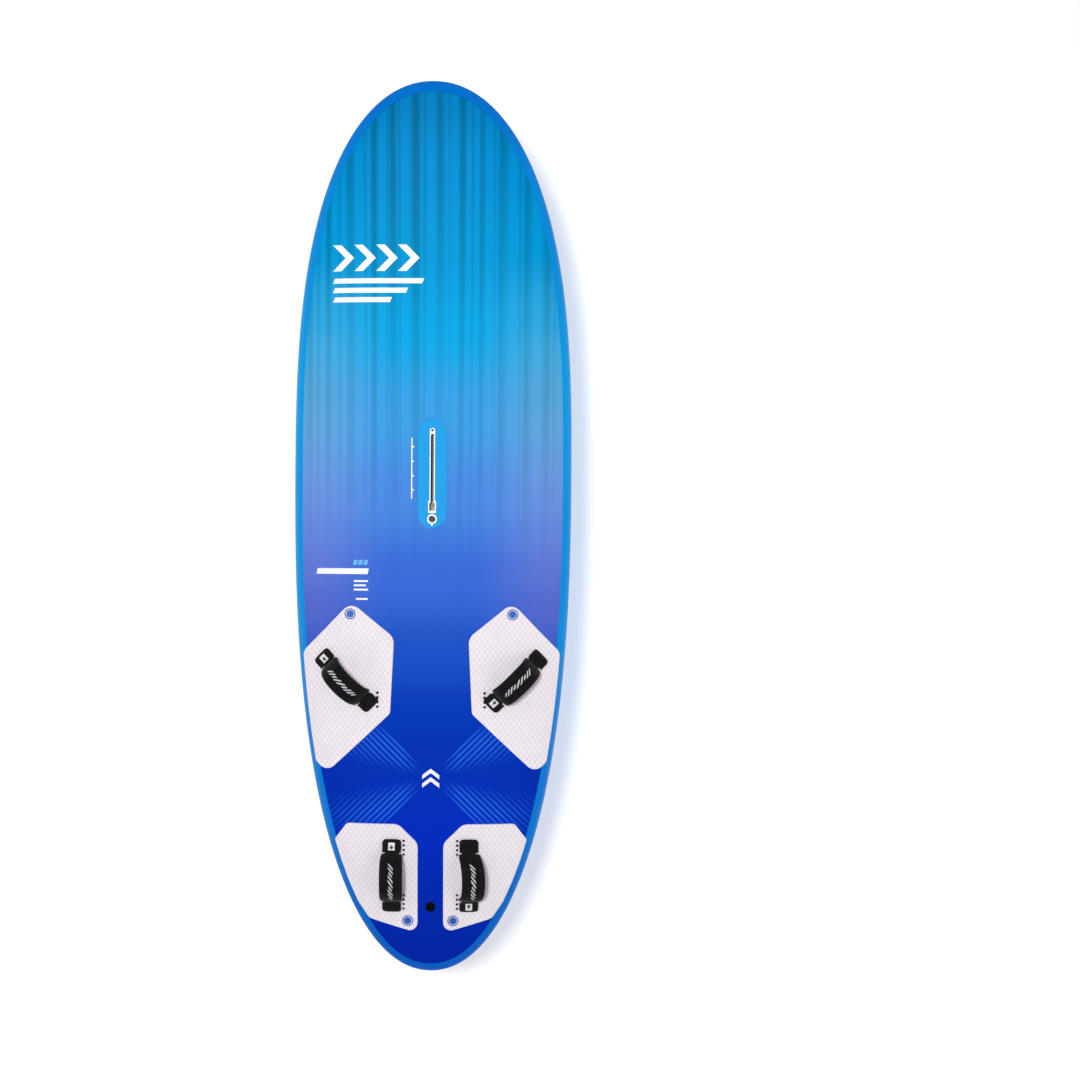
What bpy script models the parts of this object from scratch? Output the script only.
"""Windsurf board: a wide sandwich-built board with mast track, foot straps, vent and one bolted fin.

Frame: origin on the bottom's centreline at mid length, +Y towards the nose, +X towards starboard,
+Z up through the deck. Metres.
"""

import math

import bmesh
import bpy
from mathutils import Matrix, Vector

# ---------------------------------------------------------------- driving dimensions
LENGTH = 2.50
WIDTH = 0.79
WIDE_POINT_Y = 0.19        # the widest station, forward of mid length
RAIL_HEIGHT = 0.062        # widest line of the rail, above the bottom
DECK_ROUND = 0.070         # height of the rounded deck edge above that line
DECK_CROWN = 0.018         # dome of the deck
NOSE_ROCKER = 0.165
TAIL_ROCKER = 0.012
SKIN = 0.0035              # sandwich laminate
GAP = 0.0003               # clearance between touching pieces

# plan outline: (x / half width) ** PLAN_X + u ** power = 1, u measured from the widest station
PLAN_X = 2.1
NOSE_POWER = 2.7
TAIL_POWER = 2.5
NOSE_RUN = LENGTH / 2 - WIDE_POINT_Y
TAIL_RUN = LENGTH / 2 + WIDE_POINT_Y
ROCKER_START_NOSE = 0.30
ROCKER_START_TAIL = -0.55
FOIL_START = 0.10
FOIL_NOSE = 0.38           # share of thickness lost at the nose
FOIL_TAIL = 0.40
DECK_EDGE_POWER = 6.0
BOTTOM_EDGE_POWER = 6.4
DECK_TAIL_EDGE = 1.0       # how much squarer the rounded edges get towards the tail
BOTTOM_TAIL_EDGE = 2.8
BAND_SIDE = 0.932          # where the deck laminate ends, as a share of the half width
BAND_NOSE = 0.9607
BAND_TAIL = 0.9778
SEAM_SIDE = 0.0026         # the seam between the laminates, as a share of the half width
SEAM_END = 0.0014
DECK_RINGS = (0.0, 0.30, 0.52, 0.68, 0.80, 0.88, 0.94, 1.0)
RAIL_RINGS = (0.0, 0.35, 0.65, 0.85, 1.0)
BOTTOM_RINGS = (0.992, 0.975, 0.945, 0.90, 0.82, 0.68, 0.45, 0.0)
HULL_COLUMNS = 24          # steps of each ring from tail to nose

MAST_PLATE_LENGTH = 0.308
MAST_PLATE_WIDTH = 0.081
MAST_PLATE_Y = 0.172
MAST_PLATE_THICK = 0.004
SLOT_FRONT_Y = 0.2815
SLOT_REAR_Y = 0.0908
SLOT_WIDTH = 0.0085
NECK_FRONT_Y = 0.2983
NECK_REAR_Y = 0.0600
NECK_WIDTH = 0.0150
POCKET_WIDTH = 0.0220      # the wide opening that lets the mast foot's nut in
POCKET_FRONT_Y = 0.0940
TRACK_BOX_DEPTH = 0.040
TRACK_BOX_WIDTH = 0.052
TRACK_BOX_FRONT = 0.308
TRACK_BOX_REAR = 0.056
TRACK_SCREW_Y = 0.2913
TRACK_RIM = 0.0006         # how far the track's neck stands above its plate
VENT_Y = 0.0431
VENT_FLANGE_R = 0.0140
VENT_BARREL_R = 0.0115
VENT_HEAD_R = 0.0090
BOLT_HOLE_R = 0.0036
WASHER_HOLE_R = 0.0034
DECK_CUT_LOW = 0.10        # cutters for the deck's fittings run between these heights
DECK_CUT_HIGH = 0.20

PAD_THICK = 0.005
PAD_LIFT = 0.0020
PAD_GRID_X = 0.032         # spacing of the lines along which a pad bends over the deck
PAD_GRID_Y = 0.080

STRAP_SCREWS = 0.156       # between the two screws of a strap
FRONT_STRAP = (0.235, -0.408)
REAR_STRAP = (0.1076, -0.960)
FRONT_STRAP_ANGLE = 45.0   # the front straps run diagonally
SPARE_ROW_X = {"front": 0.150, "rear": 0.0753}
SPARE_HOLES = 4
INSERT_PITCH = 0.0131
INSERT_DEPTH = 0.030
INSERT_HALF_LENGTH = 0.031
INSERT_MARGIN = 0.022
HOLE_R = 0.0040
DRILL_DEPTH = 0.034
SPARE_DRILL_DEPTH = 0.020
STRAPS = (
    ("front_port", "front", -1),
    ("front_starboard", "front", 1),
    ("rear_port", "rear", -1),
    ("rear_starboard", "rear", 1),
)
STRAP_CLEAR = 0.0035       # height of a strap's chord above its pad
WEB_THICK = 0.0024
WEB_WIDTH = 0.040
ARCH_HALF = 0.0625         # webbing's centreline at the foot of the arch
ARCH_HEIGHT = 0.068
ARCH_POWER = 2.3
ARCH_STEPS = 14
COVER_WIDTH = 0.065
COVER_INNER = 0.0035
COVER_OUTER = 0.0070
COVER_START = 0.0125       # height above the chord where the cover begins
BOW = {"front_port": 0.0, "front_starboard": 0.004, "rear_port": -0.004, "rear_starboard": 0.011}
PLATE_THICK = 0.0020
PLATE_HALF_WIDTH = 0.017
FLAP_WIDTH = 0.054
FLAP_THICK = 0.0030

FIN_Y = -1.054
FIN_BASE = 0.158
FIN_DEPTH = 0.46
FIN_RAKE = 0.036           # trailing tip behind the base's rear end
FIN_TIP_CHORD = 0.052
FIN_THICK = 0.012
FIN_STATIONS = 9
FIN_BOX_HEIGHT = 0.074
FIN_BOX_HALF_WIDTH = 0.0150
FIN_BOX_HALF_LENGTH = 0.084
FIN_RIM_WIDTH = 0.0205
FIN_HEAD_HEIGHT = 0.060
FIN_HEAD_HALF_WIDTH = 0.0066
FIN_HEAD_HALF_LENGTH = 0.070
FIN_HEAD_TAPER = 0.90
FIN_CUP_DEPTH = 0.0110
FIN_CUP_R = 0.0142
NUT_R = 0.0060
NUT_BELOW_HEAD_TOP = 0.016

COLOURS = {
    "deck": (0.02, 0.16, 0.68),
    "azure": (0.0, 0.33, 0.86),
    "white": (0.86, 0.86, 0.88),
    "foam": (0.90, 0.90, 0.86),
    "pad": (0.86, 0.84, 0.87),
    "black": (0.012, 0.012, 0.014),
    "steel": (0.62, 0.63, 0.65),
    "brass": (0.72, 0.55, 0.25),
}


# ---------------------------------------------------------------- scene helpers
def clear_scene():
    """Start from an empty scene."""
    for old in list(bpy.data.objects):
        bpy.data.objects.remove(old, do_unlink=True)


def new_collection(name):
    """A collection linked to the scene."""
    group = bpy.data.collections.new(name)
    bpy.context.scene.collection.children.link(group)
    return group


clear_scene()
BOARD = new_collection("windsurf_board")
CUTTERS = new_collection("cutters")


def material(name, colour, roughness, metallic=0.0):
    """A Principled material in one of the board's colours."""
    made = bpy.data.materials.new(name)
    made.use_nodes = True
    shader = made.node_tree.nodes["Principled BSDF"]
    shader.inputs["Base Color"].default_value = (*COLOURS[colour], 1.0)
    shader.inputs["Roughness"].default_value = roughness
    shader.inputs["Metallic"].default_value = metallic
    return made


def to_object(name, mesh, finish=None, collection=None):
    """Put a mesh in the scene; finish is (colour, roughness, metallic)."""
    made = bpy.data.objects.new(name, mesh)
    (collection or BOARD).objects.link(made)
    if finish:
        made.data.materials.append(material(name, *finish))
    return made


def from_bmesh(name, bm, finish=None, collection=None):
    """Turn a bmesh into an object with outward normals."""
    bmesh.ops.recalc_face_normals(bm, faces=bm.faces)
    mesh = bpy.data.meshes.new(name)
    bm.to_mesh(mesh)
    bm.free()
    return to_object(name, mesh, finish, collection)


def cutter(name, bm):
    """A closed mesh that only cuts."""
    made = from_bmesh(name, bm, collection=CUTTERS)
    made.hide_render = True
    made.display_type = "WIRE"
    return made


def cut(target, tool, operation="DIFFERENCE"):
    """Boolean with the exact solver."""
    step = target.modifiers.new(operation.title(), "BOOLEAN")
    step.operation = operation
    step.solver = "EXACT"
    step.object = tool
    return step


def smooth(made, angle=35.0):
    """Shade a round piece smooth, keeping its real edges."""
    made.data.shade_smooth()
    made.data.set_sharp_from_angle(angle=math.radians(angle))
    return made


def hang_on_axis(name, frame, pieces):
    """An empty on a joint's axis, as the parent of the pieces that move there."""
    marker = bpy.data.objects.new(name, None)
    BOARD.objects.link(marker)
    marker.matrix_world = frame
    for piece in pieces:
        piece.parent = marker
        piece.matrix_parent_inverse = frame.inverted()


def add_box(bm, low, high, frame=None):
    """Add a box between two corners, optionally in a local frame."""
    size = [b - a for a, b in zip(low, high)]
    middle = [(a + b) / 2 for a, b in zip(low, high)]
    place = Matrix.Translation(middle) @ Matrix.Diagonal((*size, 1.0))
    bmesh.ops.create_cube(bm, size=1.0, matrix=(frame or Matrix()) @ place)


def add_cylinder(bm, radius, z_low, z_high, frame=None, sides=16, top_radius=None):
    """Add a cylinder or cone along local Z."""
    place = (frame or Matrix()) @ Matrix.Translation((0.0, 0.0, (z_low + z_high) / 2))
    bmesh.ops.create_cone(
        bm,
        cap_ends=True,
        segments=sides,
        radius1=radius,
        radius2=radius if top_radius is None else top_radius,
        depth=z_high - z_low,
        matrix=place,
    )


def add_stadium(bm, width, y_rear, y_front, z_low, z_high, sides=12):
    """Add a slot-shaped prism with round ends along Y."""
    radius = width / 2
    ends = ((y_front - radius, 0.0), (y_rear + radius, math.pi))
    ring = []
    for centre_y, start in ends:
        for step in range(sides + 1):
            turn = start + math.pi * step / sides
            ring.append((radius * math.cos(turn), centre_y + radius * math.sin(turn)))
    add_prism(bm, ring, z_low, z_high)


def add_prism(bm, ring, z_low, z_high):
    """Extrude a closed plan outline from z_low to z_high."""
    base = [bm.verts.new((x, y, z_low)) for x, y in ring]
    face = bm.faces.new(base)
    raised = bmesh.ops.extrude_face_region(bm, geom=[face])
    tops = [v for v in raised["geom"] if isinstance(v, bmesh.types.BMVert)]
    bmesh.ops.translate(bm, verts=tops, vec=(0.0, 0.0, z_high - z_low))


# ---------------------------------------------------------------- hull form
def rocker(y):
    """Height of the bottom's centreline."""
    nose = max(0.0, y - ROCKER_START_NOSE) / (LENGTH / 2 - ROCKER_START_NOSE)
    tail = max(0.0, ROCKER_START_TAIL - y) / (LENGTH / 2 + ROCKER_START_TAIL)
    return NOSE_ROCKER * nose**2 + TAIL_ROCKER * tail**2


def foil(y):
    """Share of the full thickness at a station."""
    run = LENGTH / 2 - FOIL_START
    nose = max(0.0, y - FOIL_START) / run
    tail = max(0.0, -FOIL_START - y) / run
    return 1.0 - FOIL_NOSE * nose**2 - FOIL_TAIL * tail**2


def plan_level(x, y):
    """0 at the widest station's centre, 1 on the plan outline."""
    ahead = y > WIDE_POINT_Y
    u = (y - WIDE_POINT_Y) / NOSE_RUN if ahead else (WIDE_POINT_Y - y) / TAIL_RUN
    power = NOSE_POWER if ahead else TAIL_POWER
    return (abs(x) / (WIDTH / 2)) ** PLAN_X + u**power


def edge_round(level, y, power, tail_gain):
    """1 in the middle, falling to 0 on the plan outline along a rounded edge."""
    aft = max(0.0, -FOIL_START - y) / (LENGTH / 2 - FOIL_START)
    return math.sqrt(1.0 - level ** (power * (1.0 + tail_gain * aft) / PLAN_X))


def deck_z(x, y):
    """Height of the deck surface."""
    level = min(1.0, plan_level(x, y))
    rounded = edge_round(level, y, DECK_EDGE_POWER, DECK_TAIL_EDGE)
    dome = DECK_ROUND * rounded + DECK_CROWN * (1.0 - level)
    return rocker(y) + foil(y) * (RAIL_HEIGHT + dome)


def bottom_z(x, y):
    """Height of the bottom surface."""
    level = min(1.0, plan_level(x, y))
    lift = 1.0 - edge_round(level, y, BOTTOM_EDGE_POWER, BOTTOM_TAIL_EDGE)
    return rocker(y) + foil(y) * RAIL_HEIGHT * lift


def deck_normal(x, y):
    """Unit normal of the deck, by differences."""
    d = 0.004
    slope_x = (deck_z(x + d, y) - deck_z(x - d, y)) / (2 * d)
    slope_y = (deck_z(x, y + d) - deck_z(x, y - d)) / (2 * d)
    return Vector((-slope_x, -slope_y, 1.0)).normalized()


def plan_point(ring, turn):
    """Plan position on a level ring; turn runs from the tail (-90) over the side (0) to the nose (90)."""
    level = ring**PLAN_X
    c = abs(math.cos(turn))
    s = abs(math.sin(turn))
    x = (WIDTH / 2) * (level * c * c) ** (1 / PLAN_X)
    if math.sin(turn) >= 0:
        return x, WIDE_POINT_Y + NOSE_RUN * (level * s * s) ** (1 / NOSE_POWER)
    return x, WIDE_POINT_Y - TAIL_RUN * (level * s * s) ** (1 / TAIL_POWER)


def band_ring(turn):
    """The ring on which the deck laminate ends; it keeps its side value for longer towards the tail."""
    s = math.sin(turn)
    if s >= 0:
        return BAND_SIDE + (BAND_NOSE - BAND_SIDE) * s**2
    return BAND_SIDE + (BAND_TAIL - BAND_SIDE) * abs(s) ** 3


def hull_sheet(name, rings, columns, inset=0.0):
    """Starboard half of a hull surface; rings is a list of (ring function, height function)."""
    bm = bmesh.new()
    rows = []
    for ring, height in rings:
        row = []
        for step in range(columns + 1):
            turn = math.pi * (step / columns - 0.5)
            x, y = plan_point(ring(turn), turn)
            if step in (0, columns):
                x = 0.0
            row.append(bm.verts.new((x, y, height(x, y))))
        rows.append(row)
    for inner, outer in zip(rows, rows[1:]):
        for step in range(columns):
            bm.faces.new((inner[step], inner[step + 1], outer[step + 1], outer[step]))
    bmesh.ops.remove_doubles(bm, verts=bm.verts, dist=1e-6)
    bmesh.ops.recalc_face_normals(bm, faces=bm.faces)
    if inset:
        bm.normal_update()
        moves = [(v, v.normal.copy()) for v in bm.verts]
        for vert, normal in moves:
            if abs(vert.co.x) < 1e-7:
                normal.x = 0.0
                normal.normalize()
            vert.co -= normal * inset
    mesh = bpy.data.meshes.new(name)
    bm.to_mesh(mesh)
    bm.free()
    return mesh


def mirrored(made):
    """Complete a starboard half to port."""
    step = made.modifiers.new("Mirror", "MIRROR")
    step.use_clip = True
    step.merge_threshold = 0.0001
    return made


def skinned(made, thickness, offset=-1.0):
    """Give an open sheet its thickness."""
    step = made.modifiers.new("Solidify", "SOLIDIFY")
    step.thickness = thickness
    step.offset = offset
    step.use_even_offset = False
    return made


def level_ring(share):
    """A ring at a fixed share of the half width."""
    return lambda turn: share


def towards_band(share):
    """A ring that blends into the band line."""
    return lambda turn: band_ring(turn) * share


def seam_ring(turn):
    """The ring on which the bottom laminate starts, past the seam."""
    return band_ring(turn) + SEAM_SIDE + (SEAM_END - SEAM_SIDE) * math.sin(turn) ** 2


def rail_ring(share):
    """A ring between the seam and the rail's widest line."""
    return lambda turn: seam_ring(turn) * (1 - share) + share


def build_hull():
    """Deck laminate, bottom laminate and foam core."""
    deck_rings = [(towards_band(share), deck_z) for share in DECK_RINGS]
    deck_mesh = hull_sheet("deck_shell", deck_rings, HULL_COLUMNS)
    deck = skinned(mirrored(to_object("deck_shell", deck_mesh, ("deck", 0.35))), SKIN)
    bottom_rings = [(rail_ring(share), deck_z) for share in RAIL_RINGS]
    bottom_rings += [(level_ring(share), bottom_z) for share in BOTTOM_RINGS]
    bottom_mesh = hull_sheet("bottom_shell", bottom_rings, HULL_COLUMNS)
    bottom = skinned(mirrored(to_object("bottom_shell", bottom_mesh, ("azure", 0.30))), SKIN)
    core_mesh = hull_sheet("foam_core", deck_rings + bottom_rings[1:], HULL_COLUMNS, SKIN + 3 * GAP)
    core = mirrored(to_object("foam_core", core_mesh, ("foam", 0.9)))
    for made in (deck, bottom, core):
        smooth(made, 50.0)
    return deck, bottom, core


# ---------------------------------------------------------------- mast track and vent
PLATE_TOP = deck_z(0.0, MAST_PLATE_Y) + 0.0008
PLATE_BOTTOM = PLATE_TOP - MAST_PLATE_THICK


def build_mast_track():
    """T-slot box, its surround plate, and the vent behind it."""
    neck_top = PLATE_TOP + TRACK_RIM
    bm = bmesh.new()
    front = MAST_PLATE_Y + MAST_PLATE_LENGTH / 2
    rear = MAST_PLATE_Y - MAST_PLATE_LENGTH / 2
    add_stadium(bm, MAST_PLATE_WIDTH, rear, front, PLATE_BOTTOM, PLATE_TOP)
    plate = from_bmesh("mast_track_plate", bm, ("azure", 0.4))
    bm = bmesh.new()
    ends = (NECK_REAR_Y - GAP, NECK_FRONT_Y + GAP)
    add_stadium(bm, NECK_WIDTH + 2 * GAP, *ends, DECK_CUT_LOW, DECK_CUT_HIGH, 8)
    cut(plate, cutter("plate_slot", bm))
    bm = bmesh.new()
    half = POCKET_WIDTH / 2 + GAP
    low = (-half, NECK_REAR_Y - GAP, DECK_CUT_LOW)
    add_box(bm, low, (half, POCKET_FRONT_Y + GAP, DECK_CUT_HIGH))
    cut(plate, cutter("plate_pocket", bm))
    bm = bmesh.new()
    vent = Matrix.Translation((0.0, VENT_Y, 0.0))
    add_cylinder(bm, VENT_FLANGE_R + GAP, DECK_CUT_LOW, DECK_CUT_HIGH, vent, 24)
    cut(plate, cutter("plate_vent", bm))

    box_top = PLATE_BOTTOM - GAP
    box_bottom = PLATE_TOP - TRACK_BOX_DEPTH
    bm = bmesh.new()
    half = TRACK_BOX_WIDTH / 2
    add_box(bm, (-half, TRACK_BOX_REAR, box_bottom), (half, TRACK_BOX_FRONT, box_top))
    box = from_bmesh("mast_track_box", bm, ("white", 0.4))
    bm = bmesh.new()
    add_stadium(bm, NECK_WIDTH, NECK_REAR_Y, NECK_FRONT_Y, box_top - 0.010, neck_top, 8)
    cut(box, cutter("track_neck", bm), "UNION")
    bm = bmesh.new()
    half = POCKET_WIDTH / 2
    add_box(bm, (-half, NECK_REAR_Y, box_top - 0.012), (half, POCKET_FRONT_Y, neck_top))
    cut(box, cutter("track_pocket_rim", bm), "UNION")
    bm = bmesh.new()
    add_stadium(bm, SLOT_WIDTH, NECK_REAR_Y + 0.010, SLOT_FRONT_Y, box_top - 0.008, DECK_CUT_HIGH, 6)
    cut(box, cutter("track_slot", bm))
    bm = bmesh.new()
    add_box(bm, (-0.0095, 0.0655, box_bottom + 0.008), (0.0095, 0.284, box_top - 0.004))
    cut(box, cutter("track_channel", bm))
    bm = bmesh.new()
    add_box(bm, (-0.0077, 0.0665, box_bottom + 0.012), (0.0077, 0.0880, DECK_CUT_HIGH))
    cut(box, cutter("track_pocket", bm))
    bm = bmesh.new()
    screw = Matrix.Translation((0.0, TRACK_SCREW_Y, 0.0))
    add_cylinder(bm, BOLT_HOLE_R, box_bottom + 0.012, DECK_CUT_HIGH, screw, 12)
    cut(box, cutter("track_screw_hole", bm))


def build_vent():
    """Vent bushing, O-ring and screw; the screw's axis is vertical."""
    at = Matrix.Translation((0.0, VENT_Y, 0.0))
    top = PLATE_TOP + 0.0008
    seat = top - 0.0062
    bm = bmesh.new()
    add_cylinder(bm, VENT_FLANGE_R, PLATE_BOTTOM + 0.0002, top, at, 24)
    bushing = from_bmesh("vent_bushing", bm, ("white", 0.35))
    bm = bmesh.new()
    add_cylinder(bm, VENT_BARREL_R, top - 0.030, PLATE_TOP - 0.001, at, 24)
    cut(bushing, cutter("vent_bushing_barrel", bm), "UNION")
    bm = bmesh.new()
    add_box(bm, (-0.0025, VENT_Y - 0.019, PLATE_TOP + GAP), (0.0025, VENT_Y - 0.012, top))
    cut(bushing, cutter("vent_tab", bm), "UNION")
    bm = bmesh.new()
    add_cylinder(bm, VENT_HEAD_R + 0.0006, seat, top + 0.01, at, 24)
    cut(bushing, cutter("vent_recess", bm))
    bm = bmesh.new()
    add_cylinder(bm, 0.0045, top - 0.040, top, at, 16)
    cut(bushing, cutter("vent_thread_hole", bm))

    bm = bmesh.new()
    add_cylinder(bm, VENT_HEAD_R, seat + 0.0026, top - 0.0008, at, 24)
    screw = from_bmesh("vent_screw", bm, ("black", 0.45))
    bm = bmesh.new()
    add_cylinder(bm, 0.0038, top - 0.026, seat + 0.0030, at, 16)
    cut(screw, cutter("vent_screw_shank", bm), "UNION")
    bm = bmesh.new()
    add_box(bm, (-0.0055, VENT_Y - 0.0009, top - 0.0022), (0.0055, VENT_Y + 0.0009, top + 0.01))
    cut(screw, cutter("vent_screw_slot", bm))

    bm = bmesh.new()
    add_cylinder(bm, 0.0068, seat + GAP, seat + 0.0023, at, 20)
    seal = from_bmesh("vent_o_ring", bm, ("black", 0.7))
    bm = bmesh.new()
    add_cylinder(bm, 0.0042, seat - 0.01, seat + 0.01, at, 20)
    cut(seal, cutter("vent_seal_hole", bm))
    for made in (bushing, screw, seal):
        smooth(made)
    hang_on_axis("vent_axis", Matrix.Translation((0.0, VENT_Y, PLATE_TOP)), (screw, seal))


# ---------------------------------------------------------------- pads
def fillet(points, radii, steps=4):
    """Round the corners of a plan polygon with arcs."""
    ring = []
    count = len(points)
    for index, (point, radius) in enumerate(zip(points, radii)):
        corner = Vector(point)
        before = (Vector(points[index - 1]) - corner).normalized()
        after = (Vector(points[(index + 1) % count]) - corner).normalized()
        half = before.angle(after) / 2
        centre = corner + (before + after).normalized() * (radius / math.sin(half))
        start = corner + before * (radius / math.tan(half)) - centre
        sweep = start.angle_signed(corner + after * (radius / math.tan(half)) - centre)
        for step in range(steps + 1):
            turned = start.copy()
            turned.rotate(Matrix.Rotation(-sweep * step / steps, 2))
            ring.append(centre + turned)
    return ring


def rail_offset_x(y, inset):
    """Plan x at a distance inside the outline, at a station."""
    u = (WIDE_POINT_Y - y) / TAIL_RUN
    edge = (WIDTH / 2) * (1.0 - u**TAIL_POWER) ** (1 / PLAN_X)
    d = 0.002
    u2 = (WIDE_POINT_Y - y - d) / TAIL_RUN
    slope = ((WIDTH / 2) * (1.0 - u2**TAIL_POWER) ** (1 / PLAN_X) - edge) / d
    return edge - inset * math.sqrt(1.0 + slope * slope)


def front_pad_outline():
    """Starboard front pad, counter-clockwise from its top corner."""
    corners = [(0.2257, -0.190), (0.104, -0.289), (0.1143, -0.502), (0.293, -0.672)]
    radii = [0.030, 0.036, 0.020, 0.028]
    rail_y = (-0.640, -0.560, -0.480, -0.400, -0.330)
    rail_radii = [0.010, 0.010, 0.010, 0.010, 0.030]
    rail = [(rail_offset_x(y, 0.0205), y) for y in rail_y]
    return fillet(corners + rail, radii + rail_radii, 3)


def rear_pad_outline():
    """Starboard rear pad, counter-clockwise from its inner front corner."""
    corners = [(0.091, -0.8155), (0.036, -0.870), (0.036, -1.128), (0.172, -1.088)]
    radii = [0.034, 0.030, 0.022, 0.018]
    rail_y = (-1.040, -0.980, -0.920, -0.862)
    rail = [(rail_offset_x(y, 0.0250), y) for y in rail_y]
    return fillet(corners + rail + [(0.236, -0.8145)], radii + [0.010] * len(rail) + [0.014], 3)


def pad_sheet(name, ring, side):
    """A pad's outline, laid on the deck as an open sheet."""
    curve = bpy.data.curves.new(name, "CURVE")
    curve.dimensions = "2D"
    curve.fill_mode = "BOTH"
    spline = curve.splines.new("POLY")
    spline.points.add(len(ring) - 1)
    for point, (x, y) in zip(spline.points, ring):
        point.co = (side * x, y, 0.0, 1.0)
    spline.use_cyclic_u = True
    flat = bpy.data.objects.new(name + "_flat", curve)
    CUTTERS.objects.link(flat)
    graph = bpy.context.evaluated_depsgraph_get()
    mesh = bpy.data.meshes.new_from_object(flat.evaluated_get(graph))
    bpy.data.objects.remove(flat, do_unlink=True)
    mesh.materials.clear()
    bm = bmesh.new()
    bm.from_mesh(mesh)
    bmesh.ops.remove_doubles(bm, verts=bm.verts, dist=1e-5)
    bmesh.ops.dissolve_limit(bm, angle_limit=0.01, verts=bm.verts, edges=bm.edges)
    spans = ((0, PAD_GRID_X), (1, PAD_GRID_Y))
    for axis, pitch in spans:
        places = [v.co[axis] for v in bm.verts]
        first = math.floor(min(places) / pitch) + 1
        last = math.ceil(max(places) / pitch)
        normal = Vector((1.0, 0.0, 0.0)) if axis == 0 else Vector((0.0, 1.0, 0.0))
        for line in range(first, last):
            whole = bm.verts[:] + bm.edges[:] + bm.faces[:]
            place = normal * line * pitch
            bmesh.ops.bisect_plane(bm, geom=whole, dist=1e-6, plane_co=place, plane_no=normal)
    for vert in bm.verts:
        foot = Vector((vert.co.x, vert.co.y, deck_z(vert.co.x, vert.co.y)))
        vert.co = foot + deck_normal(vert.co.x, vert.co.y) * PAD_LIFT
    bmesh.ops.triangulate(bm, faces=bm.faces)
    bmesh.ops.recalc_face_normals(bm, faces=bm.faces)
    if sum(f.normal.z for f in bm.faces) < 0:
        bmesh.ops.reverse_faces(bm, faces=bm.faces)
    bm.to_mesh(mesh)
    bm.free()
    return mesh


# ---------------------------------------------------------------- foot straps
def on_pad(x, y, lift=0.0):
    """A point on the pad's top surface."""
    return Vector((x, y, deck_z(x, y))) + deck_normal(x, y) * (PAD_LIFT + PAD_THICK + lift)


def local_frame(x, y):
    """Frame on the deck: Z along the normal, Y as near fore-and-aft as it can be."""
    up = deck_normal(x, y)
    side = Vector((0.0, 1.0, 0.0)).cross(up).normalized()
    along = up.cross(side)
    turn = Matrix((side, along, up)).transposed().to_4x4()
    return Matrix.Translation((x, y, deck_z(x, y))) @ turn


class Strap:
    """One foot strap's place: its two screw points and the frame of the chord between them."""

    def __init__(self, name, row, side):
        self.name = name
        self.row = row
        self.side = side
        angle = math.radians(FRONT_STRAP_ANGLE if row == "front" else 0.0)
        centre = Vector(FRONT_STRAP if row == "front" else REAR_STRAP)
        reach = Vector((math.sin(angle), math.cos(angle))) * (STRAP_SCREWS / 2)
        ahead = centre + reach
        behind = centre - reach
        self.ends = {
            "front": Vector((side * ahead.x, ahead.y)),
            "rear": Vector((side * behind.x, behind.y)),
        }
        high = on_pad(*self.ends["front"], STRAP_CLEAR)
        low = on_pad(*self.ends["rear"], STRAP_CLEAR)
        along = (high - low).normalized()
        up = (deck_normal(*self.ends["front"]) + deck_normal(*self.ends["rear"])).normalized()
        across = along.cross(up).normalized()
        up = across.cross(along)
        turn = Matrix((along, up.cross(along), up)).transposed().to_4x4()
        self.frame = Matrix.Translation((high + low) / 2) @ turn
        self.reach = (high - low).length / 2


def arch_point(share):
    """Webbing centreline above the chord; share runs 0 to 1 from the rear foot to the front foot."""
    turn = math.pi * (1.0 - share)
    c = math.cos(turn)
    s = max(0.0, math.sin(turn))
    along = math.copysign(ARCH_HALF * abs(c) ** (2 / ARCH_POWER), c)
    return along, ARCH_HEIGHT * s ** (2 / ARCH_POWER)


def arch_tangent(share):
    """Direction of the arch at a share."""
    a = Vector(arch_point(max(0.0, share - 0.004)))
    b = Vector(arch_point(min(1.0, share + 0.004)))
    return (b - a).normalized()


def bow_at(strap, height):
    """Sideways curve of a strap, outboard, growing with height."""
    return -strap.side * BOW[strap.name] * (max(0.0, height) / ARCH_HEIGHT) ** 1.5


def sweep(bm, stations):
    """Skin a closed tube through rings of equal length and cap both ends."""
    rings = [[bm.verts.new(p) for p in ring] for ring in stations]
    count = len(rings[0])
    for a, b in zip(rings, rings[1:]):
        for index in range(count):
            after = (index + 1) % count
            bm.faces.new((a[index], a[after], b[after], b[index]))
    bm.faces.new(rings[0])
    bm.faces.new(list(reversed(rings[-1])))
    return rings


def cover_ring(strap, share, width):
    """Rounded section of the padded sleeve at a share of the arch."""
    along, height = arch_point(share)
    tangent = arch_tangent(share)
    normal = Vector((-tangent.y, tangent.x))
    half = width / 2
    section = [
        (-half, 0.0),
        (-half * 0.97, COVER_OUTER * 0.55),
        (-half * 0.80, COVER_OUTER),
        (0.0, COVER_OUTER * 1.12),
        (half * 0.80, COVER_OUTER),
        (half * 0.97, COVER_OUTER * 0.55),
        (half, 0.0),
        (half * 0.94, -COVER_INNER),
        (-half * 0.94, -COVER_INNER),
    ]
    shift = bow_at(strap, height)
    ring = []
    for across, out in section:
        place = Vector((along, height)) + normal * out
        ring.append(Vector((place.x, across + shift, place.y)))
    return ring


def band_section(strap, place, normal, height, half, thick):
    """Flat section of a band: half its width, and half its thickness."""
    shift = bow_at(strap, height)
    ring = []
    for across, out in ((-half, -thick), (half, -thick), (half, thick), (-half, thick)):
        point = Vector(place) + normal * out
        ring.append(Vector((point.x, across + shift, point.y)))
    return ring


def start_share():
    """Share of the arch at which the cover begins."""
    rise = (COVER_START / ARCH_HEIGHT) ** (ARCH_POWER / 2)
    return math.asin(rise) / math.pi


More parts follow.
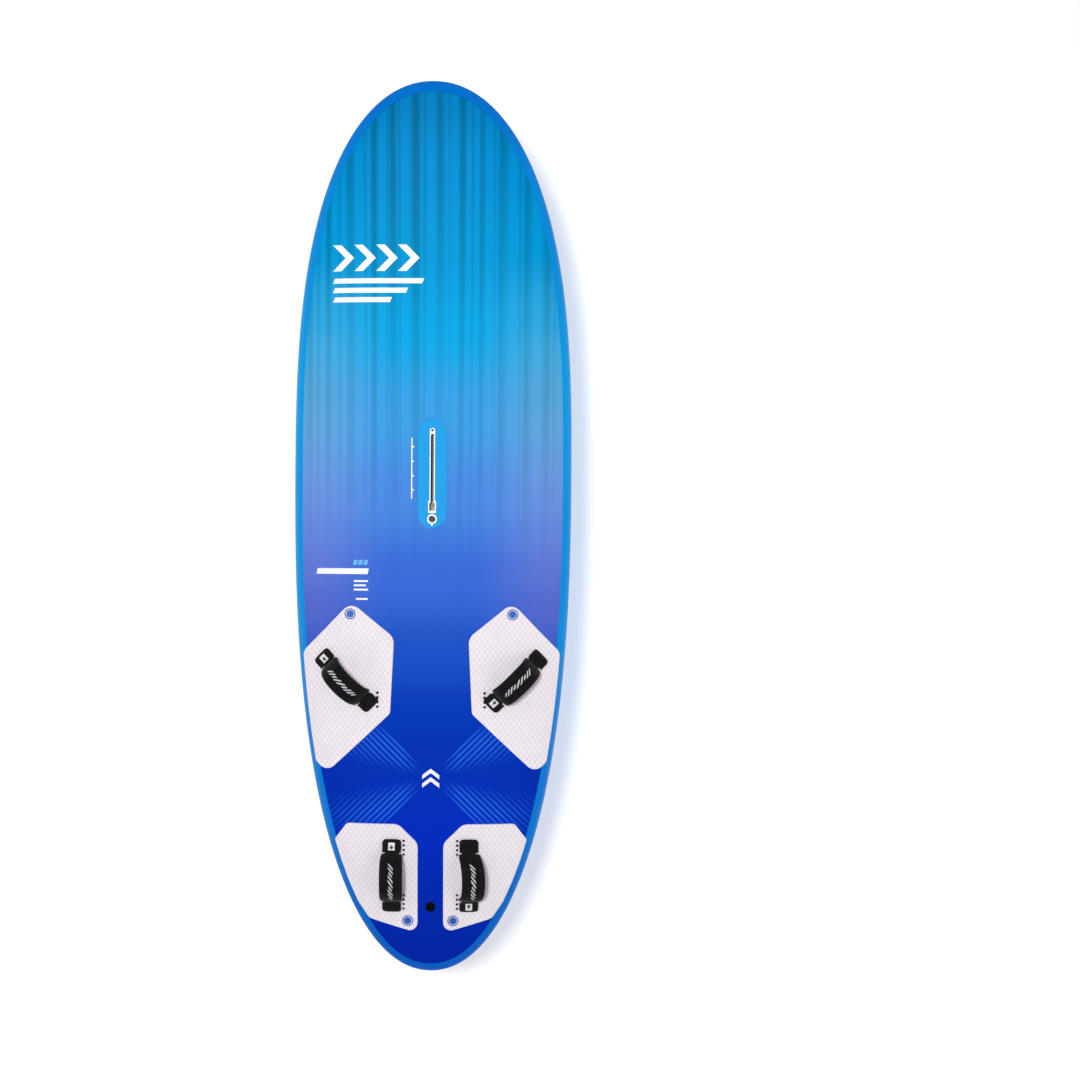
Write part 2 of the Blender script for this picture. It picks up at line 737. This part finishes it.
def build_cover(strap):
    """Padded sleeve over the webbing."""
    first = start_share()
    steps = ARCH_STEPS
    stations = []
    for step in range(steps + 1):
        share = first + (1.0 - 2 * first) * step / steps
        swell = math.sin(math.pi * step / steps) ** 0.5 if 0 < step < steps else 0.0
        stations.append(cover_ring(strap, share, COVER_WIDTH * (0.90 + 0.10 * swell)))
    bm = bmesh.new()
    sweep(bm, stations)
    cover = from_bmesh("strap_cover_" + strap.name, bm, ("black", 0.75))
    stations = []
    for step in range(-1, steps + 2):
        share = first + (1.0 - 2 * first) * step / steps
        place = arch_point(share)
        tangent = arch_tangent(share)
        normal = Vector((-tangent.y, tangent.x))
        half = WEB_WIDTH / 2 + 2 * GAP
        thick = WEB_THICK / 2 + 0.0005
        stations.append(band_section(strap, place, normal, place[1], half, thick))
    bm = bmesh.new()
    sweep(bm, stations)
    tunnel = cutter("tunnel_" + strap.name, bm)
    cut(cover, tunnel)
    for made in (cover, tunnel):
        made.matrix_world = strap.frame
    return smooth(cover, 60.0)


def build_webbing(strap):
    """Woven band: flat under each end plate, arched between."""
    reach = strap.reach
    flat_end = reach + 0.017
    bend = 0.0085
    path = []
    steps = ARCH_STEPS
    first = start_share() * 0.8
    for step in range(steps + 1):
        share = first + (1.0 - 2 * first) * step / steps
        along, height = arch_point(share)
        tangent = arch_tangent(share)
        path.append(((along, height), Vector((-tangent.y, tangent.x)), height))
    up = Vector((0.0, 1.0))
    lean = Vector((-0.6, 0.8))
    rear = [
        ((-flat_end, 0.0), up, 0.0),
        ((-ARCH_HALF - bend, 0.0), up, 0.0),
        ((-ARCH_HALF - 0.0022, 0.0024), lean, 0.0),
    ]
    front = [((-along, z), Vector((-n.x, n.y)), h) for (along, z), n, h in reversed(rear)]
    size = (WEB_WIDTH / 2, WEB_THICK / 2)
    stations = [band_section(strap, *entry, *size) for entry in rear + path + front]
    bm = bmesh.new()
    sweep(bm, stations)
    webbing = from_bmesh("strap_webbing_" + strap.name, bm, ("black", 0.8))
    bm = bmesh.new()
    for sign in (-1, 1):
        at = Matrix.Translation((sign * reach, 0.0, 0.0))
        add_cylinder(bm, WASHER_HOLE_R, -0.01, 0.01, at, 8)
    holes = cutter("webbing_holes_" + strap.name, bm)
    cut(webbing, holes)
    for made in (webbing, holes):
        made.matrix_world = strap.frame
    smooth(webbing, 40.0)


def build_strap_end(strap, end):
    """Anti-twist plate, screw and soft end flap at one end of a strap."""
    sign = 1 if end == "front" else -1
    at = Matrix.Translation((sign * strap.reach, 0.0, 0.0))
    plate_low = WEB_THICK / 2 + GAP
    plate_high = plate_low + PLATE_THICK
    bm = bmesh.new()
    low = (-0.0060, -PLATE_HALF_WIDTH, plate_low)
    add_box(bm, low, (0.0150, PLATE_HALF_WIDTH, plate_high), at @ facing_out(sign))
    plate = from_bmesh(f"strap_plate_{strap.name}_{end}", bm, ("black", 0.5))
    bm = bmesh.new()
    add_cylinder(bm, WASHER_HOLE_R, -0.01, 0.01, at, 8)
    hole = cutter(f"plate_hole_{strap.name}_{end}", bm)
    cut(plate, hole)

    bm = bmesh.new()
    add_cylinder(bm, 0.0062, plate_high + GAP, plate_high + GAP + 0.0032, at, 12, 0.0045)
    screw = from_bmesh(f"strap_screw_{strap.name}_{end}", bm, ("steel", 0.3, 1.0))
    bm = bmesh.new()
    add_cylinder(bm, 0.0026, -0.026, plate_high + 0.001, at, 12)
    shank = cutter(f"screw_shank_{strap.name}_{end}", bm)
    cut(screw, shank, "UNION")

    top = plate_high + 0.0043
    profile = [
        (ARCH_HALF + 0.0110, top + 0.0010),
        (strap.reach, top + 0.0012),
        (strap.reach + 0.0100, top - 0.0005),
        (strap.reach + 0.0190, top - 0.0045),
        (strap.reach + 0.0230, 0.0008),
    ]
    half = FLAP_WIDTH / 2
    stations = []
    for index, (along, height) in enumerate(profile):
        before = Vector(profile[max(0, index - 1)])
        after = Vector(profile[min(len(profile) - 1, index + 1)])
        run = (after - before).normalized()
        normal = Vector((-run.y, run.x))
        inner = Vector((along, height))
        outer = inner + normal * FLAP_THICK
        narrow = 0.86 if index == len(profile) - 1 else 1.0
        ring = []
        for place, across in ((inner, -half), (inner, half), (outer, half), (outer, -half)):
            ring.append(Vector((sign * place.x, across * narrow, place.y)))
        stations.append(ring)
    bm = bmesh.new()
    sweep(bm, stations)
    flap = from_bmesh(f"strap_flap_{strap.name}_{end}", bm, ("black", 0.7))
    for made in (plate, hole, screw, shank, flap):
        made.matrix_world = strap.frame
    smooth(screw)


def facing_out(sign):
    """Turn a strap end's frame half round at the rear end, so that its X points away from the arch."""
    return Matrix.Rotation(0.0 if sign > 0 else math.pi, 4, "Z")


def insert_rows(strap):
    """Each insert block: (end, its screw's plan point, spare row centre or None)."""
    rows = []
    for end in ("front", "rear"):
        point = strap.ends[end]
        spare = None
        if not (strap.row == "front" and end == "front"):
            spare = Vector((strap.side * SPARE_ROW_X[strap.row], point.y))
        rows.append((end, point, spare))
    return rows


def screw_axis(strap, end):
    """The strap screw's frame in the board."""
    sign = 1 if end == "front" else -1
    return strap.frame @ Matrix.Translation((sign * strap.reach, 0.0, 0.0))


def build_inserts(strap, pockets, drills):
    """Screw insert blocks under a strap, and the cutters for their pockets and holes."""
    for end, point, spare in insert_rows(strap):
        middle = point if spare is None else (point + spare) / 2
        width = INSERT_MARGIN if spare is None else abs(point.x - spare.x) + INSERT_MARGIN
        frame = local_frame(*middle)
        low = (-width / 2, -INSERT_HALF_LENGTH, -INSERT_DEPTH)
        high = (width / 2, INSERT_HALF_LENGTH, -0.0012)
        bm = bmesh.new()
        add_box(bm, low, high, frame)
        block = from_bmesh(f"strap_insert_{strap.name}_{end}", bm, ("white", 0.5))
        grow = 2 * GAP
        add_box(
            pockets,
            (low[0] - grow, low[1] - grow, low[2] - grow),
            (high[0] + grow, high[1] + grow, 0.012),
            frame,
        )
        bm = bmesh.new()
        for tool in (bm, drills):
            add_cylinder(tool, HOLE_R, -DRILL_DEPTH, 0.010, screw_axis(strap, end), 8)
        if spare is not None:
            for step in range(SPARE_HOLES):
                y = spare.y + (step - (SPARE_HOLES - 1) / 2) * INSERT_PITCH
                hole = local_frame(spare.x, y)
                for tool in (bm, drills):
                    add_cylinder(tool, HOLE_R, -SPARE_DRILL_DEPTH, 0.012, hole, 8)
        cut(block, cutter(f"insert_holes_{strap.name}_{end}", bm))


def build_strap_and_pad(name, row, side, pockets):
    """One pad with its strap and inserts."""
    strap = Strap(name, row, side)
    outline = front_pad_outline() if row == "front" else rear_pad_outline()
    pad = to_object("deck_pad_" + name, pad_sheet("deck_pad_" + name, outline, side), ("pad", 0.85))
    skinned(pad, PAD_THICK, 1.0)
    drills = bmesh.new()
    build_inserts(strap, pockets, drills)
    cut(pad, cutter("pad_holes_" + name, drills))
    cover = build_cover(strap)
    build_webbing(strap)
    for end in ("front", "rear"):
        build_strap_end(strap, end)
    hang_on_axis("strap_axis_" + name, strap.frame, (cover,))


# ---------------------------------------------------------------- fin and its box
FIN_ROOT_Z = bottom_z(0.0, FIN_Y)


def fin_section(chord, thick, lead_y, z, sides=7):
    """Symmetric foil section: leading edge at lead_y, running aft."""
    ring = []
    for step in range(2 * sides):
        share = step / sides if step <= sides else 2 - step / sides
        along = (1 - math.cos(math.pi * share)) / 2
        half = 2.6 * thick * (math.sqrt(along) * (1 - along) * 0.60 + 0.012)
        sign = 1 if 0 < step < sides else -1
        x = sign * half if step not in (0, sides) else 0.0
        ring.append(Vector((x, lead_y - chord * along, z)))
    return ring


def build_fin():
    """Blade, moulded head, barrel nut, box, bushing, screw and washer."""
    lead = FIN_Y + FIN_BASE / 2 - 0.004
    trail = FIN_Y - FIN_BASE / 2 + 0.004
    tip_z = -FIN_DEPTH
    top_z = FIN_ROOT_Z - 0.0012
    span = top_z - tip_z
    steps = FIN_STATIONS
    stations = []
    for step in range(steps + 1):
        share = math.sin(0.5 * math.pi * step / steps) if step else 0.0
        z = top_z - span * share
        chord_root = lead - trail
        swept = share**1.7
        rear = trail - (FIN_RAKE + 0.004) * swept
        chord = chord_root + (FIN_TIP_CHORD - chord_root) * share**1.25
        if step == steps:
            chord *= 0.62
            rear -= 0.004
        thick = FIN_THICK * (1 - 0.62 * share)
        stations.append(fin_section(chord, thick, rear + chord, z))
    bm = bmesh.new()
    sweep(bm, stations)
    blade = smooth(from_bmesh("fin_blade", bm, ("white", 0.25)), 40.0)

    head_low = FIN_ROOT_Z - 0.0008
    head_high = head_low + FIN_HEAD_HEIGHT
    bm = bmesh.new()
    low = (-FIN_HEAD_HALF_WIDTH, FIN_Y - FIN_HEAD_HALF_LENGTH, head_low)
    add_box(bm, low, (FIN_HEAD_HALF_WIDTH, FIN_Y + FIN_HEAD_HALF_LENGTH, head_high))
    for vert in bm.verts:
        if vert.co.z > (head_low + head_high) / 2:
            vert.co.y = FIN_Y + (vert.co.y - FIN_Y) * FIN_HEAD_TAPER
            vert.co.x *= FIN_HEAD_TAPER
    head = from_bmesh("fin_head", bm, ("white", 0.4))

    box_low = FIN_ROOT_Z + 0.0006
    box_high = box_low + FIN_BOX_HEIGHT
    bm = bmesh.new()
    low = (-FIN_BOX_HALF_WIDTH, FIN_Y - FIN_BOX_HALF_LENGTH, box_low + 2.2 * SKIN)
    add_box(bm, low, (FIN_BOX_HALF_WIDTH, FIN_Y + FIN_BOX_HALF_LENGTH, box_high))
    box = from_bmesh("fin_box", bm, ("white", 0.4))
    bm = bmesh.new()
    ends = (FIN_Y - FIN_BASE / 2, FIN_Y + FIN_BASE / 2)
    add_stadium(bm, FIN_RIM_WIDTH, *ends, FIN_ROOT_Z - 0.0004, box_low + 0.012, 8)
    cut(box, cutter("fin_box_rim", bm), "UNION")
    bm = bmesh.new()
    half_width = FIN_HEAD_HALF_WIDTH + 0.0004
    half_length = FIN_HEAD_HALF_LENGTH + 0.0005
    low = (-half_width, FIN_Y - half_length, FIN_ROOT_Z - 0.02)
    add_box(bm, low, (half_width, FIN_Y + half_length, head_high + 0.001))
    cut(box, cutter("fin_box_cavity", bm))
    at = Matrix.Translation((0.0, FIN_Y, 0.0))
    bm = bmesh.new()
    add_cylinder(bm, BOLT_HOLE_R, head_high - 0.02, box_high + 0.02, at, 12)
    cut(box, cutter("fin_box_screw_hole", bm))

    bm = bmesh.new()
    add_cylinder(bm, BOLT_HOLE_R, head_low + 0.016, head_high + 0.01, at, 12)
    cut(head, cutter("fin_head_bore", bm))
    nut_z = head_high - NUT_BELOW_HEAD_TOP
    across = Matrix.Translation((0.0, FIN_Y, nut_z)) @ Matrix.Rotation(math.pi / 2, 4, "Y")
    bm = bmesh.new()
    add_cylinder(bm, NUT_R + GAP, -0.02, 0.02, across, 16)
    cut(head, cutter("fin_nut_bore", bm))
    bm = bmesh.new()
    add_cylinder(bm, NUT_R, -0.0058, 0.0058, across, 16)
    nut = from_bmesh("fin_barrel_nut", bm, ("steel", 0.3, 1.0))
    bm = bmesh.new()
    add_cylinder(bm, WASHER_HOLE_R, nut_z - 0.02, nut_z + 0.02, at, 12)
    cut(nut, cutter("fin_nut_thread", bm))

    rim = deck_z(0.0, FIN_Y) + 0.0008
    cup_floor = rim - FIN_CUP_DEPTH
    bm = bmesh.new()
    add_cylinder(bm, FIN_CUP_R, cup_floor - 0.003, rim, at, 24)
    bushing = from_bmesh("fin_screw_bushing", bm, ("black", 0.5))
    bm = bmesh.new()
    add_cylinder(bm, 0.0105, cup_floor, rim + 0.01, at, 24)
    cut(bushing, cutter("fin_bushing_cup", bm))
    bm = bmesh.new()
    add_cylinder(bm, BOLT_HOLE_R, cup_floor - 0.02, rim + 0.01, at, 12)
    cut(bushing, cutter("fin_bushing_hole", bm))

    bm = bmesh.new()
    add_cylinder(bm, 0.0085, cup_floor + GAP, cup_floor + 0.0015, at, 16)
    washer = from_bmesh("fin_screw_washer", bm, ("steel", 0.3, 1.0))
    bm = bmesh.new()
    add_cylinder(bm, WASHER_HOLE_R, cup_floor - 0.01, rim, at, 12)
    cut(washer, cutter("fin_washer_hole", bm))

    head_base = cup_floor + 0.0018
    bm = bmesh.new()
    add_cylinder(bm, 0.0066, head_base, head_base + 0.0055, at, 16)
    screw = from_bmesh("fin_screw", bm, ("steel", 0.3, 1.0))
    bm = bmesh.new()
    add_cylinder(bm, 0.0029, nut_z - 0.012, head_base + 0.001, at, 12)
    cut(screw, cutter("fin_screw_shank", bm), "UNION")
    bm = bmesh.new()
    add_cylinder(bm, 0.0030, head_base + 0.0020, head_base + 0.02, at, 6)
    cut(screw, cutter("fin_screw_socket", bm))
    for made in (nut, bushing, washer, screw):
        smooth(made)
    hang_on_axis("fin_screw_axis", Matrix.Translation((0.0, FIN_Y, rim)), (screw, washer))
    hang_on_axis("fin_axis", Matrix.Translation((0.0, FIN_Y, FIN_ROOT_Z)), (blade, head, nut))
    return box_high


def build_hull_cutters(deck, bottom, core, pockets, box_high):
    """Cut every fitting's pocket out of the laminates and the core."""
    front = MAST_PLATE_Y + MAST_PLATE_LENGTH / 2 + 2 * GAP
    rear = MAST_PLATE_Y - MAST_PLATE_LENGTH / 2 - 2 * GAP
    bm = bmesh.new()
    add_stadium(bm, MAST_PLATE_WIDTH + 4 * GAP, rear, front, PLATE_BOTTOM - 2 * GAP, DECK_CUT_HIGH)
    plate_pocket = cutter("mast_plate_pocket", bm)
    half = TRACK_BOX_WIDTH / 2 + 2 * GAP
    bm = bmesh.new()
    low = (-half, TRACK_BOX_REAR - 2 * GAP, PLATE_TOP - TRACK_BOX_DEPTH - 2 * GAP)
    add_box(bm, low, (half, TRACK_BOX_FRONT + 2 * GAP, DECK_CUT_HIGH))
    track_pocket = cutter("track_box_pocket", bm)
    bm = bmesh.new()
    vent = Matrix.Translation((0.0, VENT_Y, 0.0))
    add_cylinder(bm, VENT_BARREL_R + GAP, DECK_CUT_LOW - 0.02, DECK_CUT_HIGH, vent, 20)
    vent_pocket = cutter("vent_pocket", bm)
    at = Matrix.Translation((0.0, FIN_Y, 0.0))
    bm = bmesh.new()
    add_cylinder(bm, FIN_CUP_R + 2 * GAP, box_high - 0.01, DECK_CUT_HIGH, at, 24)
    bushing_pocket = cutter("bushing_pocket", bm)
    bm = bmesh.new()
    half = FIN_BOX_HALF_WIDTH + 0.0005
    end = FIN_BOX_HALF_LENGTH + 0.0005
    low = (-half, FIN_Y - end, FIN_ROOT_Z + 2.2 * SKIN)
    add_box(bm, low, (half, FIN_Y + end, box_high + 2 * GAP))
    fin_pocket = cutter("fin_box_pocket", bm)
    bm = bmesh.new()
    end = FIN_BASE / 2 + 2 * GAP
    heights = (FIN_ROOT_Z - 0.05, FIN_ROOT_Z + 0.03)
    add_stadium(bm, FIN_RIM_WIDTH + 4 * GAP, FIN_Y - end, FIN_Y + end, *heights, 8)
    rim_pocket = cutter("fin_rim_pocket", bm)
    bmesh.ops.recalc_face_normals(pockets, faces=pockets.faces)
    insert_pocket = cutter("insert_pockets", pockets)
    for tool in (plate_pocket, track_pocket, vent_pocket, bushing_pocket, insert_pocket):
        cut(deck, tool)
        cut(core, tool)
    cut(core, fin_pocket)
    cut(core, rim_pocket)
    cut(bottom, rim_pocket)


def build_board():
    """The whole board."""
    deck, bottom, core = build_hull()
    build_mast_track()
    build_vent()
    pockets = bmesh.new()
    for name, row, side in STRAPS:
        build_strap_and_pad(name, row, side, pockets)
    box_high = build_fin()
    build_hull_cutters(deck, bottom, core, pockets, box_high)


build_board()
